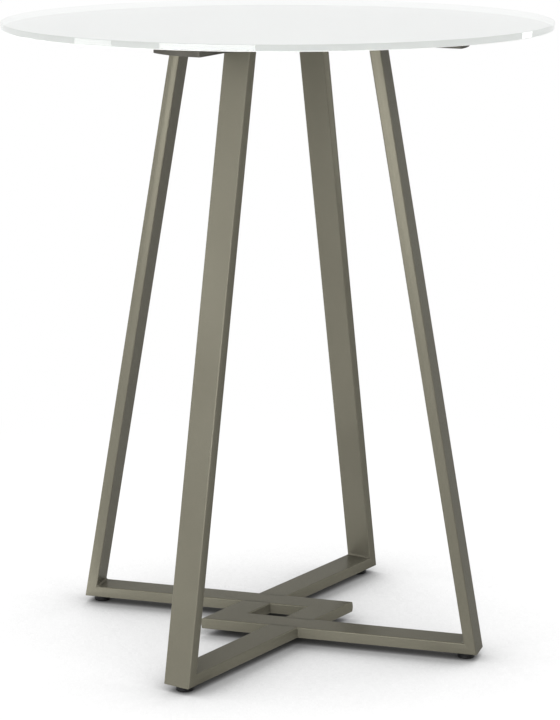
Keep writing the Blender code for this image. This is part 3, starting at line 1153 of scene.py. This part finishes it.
def make_sky():
    """White where it is looked at, and a soft dome, brighter at the sides, where it lights."""
    world = bpy.data.worlds.new("studio")
    bpy.context.scene.world = world
    world.use_nodes = True
    tree = world.node_tree
    direction = tree.nodes.new("ShaderNodeTexCoord").outputs["Generated"]
    parts = tree.nodes.new("ShaderNodeSeparateXYZ")
    tree.links.new(direction, parts.inputs[0])
    dome = tree.nodes.new("ShaderNodeMapRange")
    dome.inputs["From Min"].default_value = 0.0
    dome.inputs["From Max"].default_value = SKY_RISE
    dome.inputs["To Min"].default_value = SKY_LOW
    dome.inputs["To Max"].default_value = SKY_HIGH
    tree.links.new(parts.outputs["Z"], dome.inputs["Value"])
    level = tree.nodes.new("ShaderNodeMix")
    level.inputs["B"].default_value = PURE_WHITE
    tree.links.new(seen_directly(tree), level.inputs["Factor"])
    tree.links.new(dome.outputs["Result"], level.inputs["A"])
    tree.links.new(level.outputs["Result"], tree.nodes["Background"].inputs["Strength"])
    tree.nodes["Background"].inputs["Color"].default_value = (1, 1, 1, 1)


make_sky()
print("sky from", SKY_LOW, "at the horizon to", SKY_HIGH, "overhead")

# %% [markdown]
# ## The soft boxes
#
# Satin tubes show their light as much as their colour, so each box stands where one kind of face
# mirrors it. The key stands to the left of the camera and makes the left faces of the legs
# bright. The key and a narrow box farther round are the bright patches in the polished rim, a
# strip on the right lights the right faces, and a low box behind is mirrored in the flat tops of
# the bars. A far fill softens the key, a broad box overhead lights the top, and two cards on the
# floor throw light up at the inner faces of the legs that lean over them.
#
# A box that rises above the top would be mirrored in it as a hard-edged white patch, which reads
# as missing glass from behind. So the key and the strip are each split at the height of the top:
# the lower part is mirrored, and the upper part only lights. The box behind would also be seen
# through the clear edge, so glass doesn't show it. Brightness is given as radiance, and the
# energy of each box follows from its area, so a box can change its size without changing how
# bright its mirror image is.

# %% Say how a soft box stands
BOX_DISTANCE = 2.4


def bearing_point(bearing):
    """A direction along the floor, by its bearing to the left of the camera."""
    turn = math.radians(bearing)
    return -view_forward * math.cos(turn) - view_right * math.sin(turn)


def hang_box(name, width, height, radiance, place, facing, mirrored=True):
    """A soft box of a given brightness that faces one way."""
    data = bpy.data.lights.new(name, "AREA")
    data.shape = "RECTANGLE"
    data.size = width
    data.size_y = height
    data.energy = radiance * math.pi * width * height
    box = bpy.data.objects.new(name, data)
    box.location = place
    box.rotation_euler = facing.to_track_quat("-Z", "Y").to_euler()
    box.visible_camera = False
    box.visible_glossy = mirrored
    bpy.context.scene.collection.objects.link(box)
    print(name, "of", round(width, 2), "by", round(height, 2), "m")
    return box


def stand_box(name, bearings, heights, radiance, distance=BOX_DISTANCE, mirrored=True):
    """An upright soft box that spans two bearings and two heights."""
    start, end = [bearing_point(bearing) * distance for bearing in bearings]
    bottom, top = heights
    middle = (start + end) / 2 + UP * (bottom + top) / 2
    facing = Vector((-middle.x, -middle.y, 0))
    width = (end - start).length
    return hang_box(name, width, top - bottom, radiance, middle, facing, mirrored)


print("soft boxes stand", BOX_DISTANCE, "m away unless they say otherwise")

# %% Stand the boxes around the table
MIRROR_LIMIT = 1.02
KEY_BEARINGS = (7.9, 43.6)
KEY_BOTTOM = 0.28
KEY_TOP = 1.70
KEY_RADIANCE = 6.3
SIDE_BEARINGS = (64, 82)
SIDE_HEIGHTS = (0.74, 0.98)
SIDE_RADIANCE = 4.5
STRIP_BEARINGS = (-109, -117.5)
STRIP_BOTTOM = 0.40
STRIP_TOP = 1.90
STRIP_RADIANCE = 5.0
FILL_BEARINGS = (15, 60)
FILL_HEIGHTS = (0.80, 5.00)
FILL_RADIANCE = 2.7
FILL_DISTANCE = 8.0
BACK_BEARINGS = (165, 195)
BACK_HEIGHTS = (0.15, 1.00)
BACK_RADIANCE = 0.75
BACK_DISTANCE = 3.0

key_low = (KEY_BOTTOM, MIRROR_LIMIT)
key_high = (MIRROR_LIMIT, KEY_TOP)
strip_low = (STRIP_BOTTOM, MIRROR_LIMIT)
strip_high = (MIRROR_LIMIT, STRIP_TOP)
stand_box("key_left", KEY_BEARINGS, key_low, KEY_RADIANCE)
stand_box("key_left_high", KEY_BEARINGS, key_high, KEY_RADIANCE, mirrored=False)
stand_box("side_left", SIDE_BEARINGS, SIDE_HEIGHTS, SIDE_RADIANCE)
stand_box("strip_right", STRIP_BEARINGS, strip_low, STRIP_RADIANCE)
stand_box("strip_right_high", STRIP_BEARINGS, strip_high, STRIP_RADIANCE, mirrored=False)
stand_box("fill_left", FILL_BEARINGS, FILL_HEIGHTS, FILL_RADIANCE, FILL_DISTANCE, mirrored=False)

# %% Hang the overhead box and lay the cards
TOP_BOX_HEIGHT = 3.2
TOP_BOX_SIZE = 2.6
TOP_BOX_RADIANCE = 0.5
FLOOR_CARD_SIZE = (1.9, 0.6)
FLOOR_CARD_RADIANCE = 1.9
FLOOR_CARD_PLACE = Vector((-1.25, 0.42, 0.004))
UNDER_CARD_SIZE = (0.6, 0.6)
UNDER_CARD_RADIANCE = 0.45
UNDER_CARD_PLACE = Vector((-0.05, 0.05, 0.006))

top_place = UP * TOP_BOX_HEIGHT
hang_box("overhead", TOP_BOX_SIZE, TOP_BOX_SIZE, TOP_BOX_RADIANCE, top_place, -UP)
hang_box("floor_card", *FLOOR_CARD_SIZE, FLOOR_CARD_RADIANCE, FLOOR_CARD_PLACE, UP)
hang_box("under_card", *UNDER_CARD_SIZE, UNDER_CARD_RADIANCE, UNDER_CARD_PLACE, UP)
back_low = stand_box("back_low", BACK_BEARINGS, BACK_HEIGHTS, BACK_RADIANCE, BACK_DISTANCE)
back_low.visible_transmission = False

# %% [markdown]
# ## The view transform
#
# The view transform is the plain one, so that a colour renders as it is written.

# %% Finish
bpy.context.scene.view_settings.view_transform = "Standard"
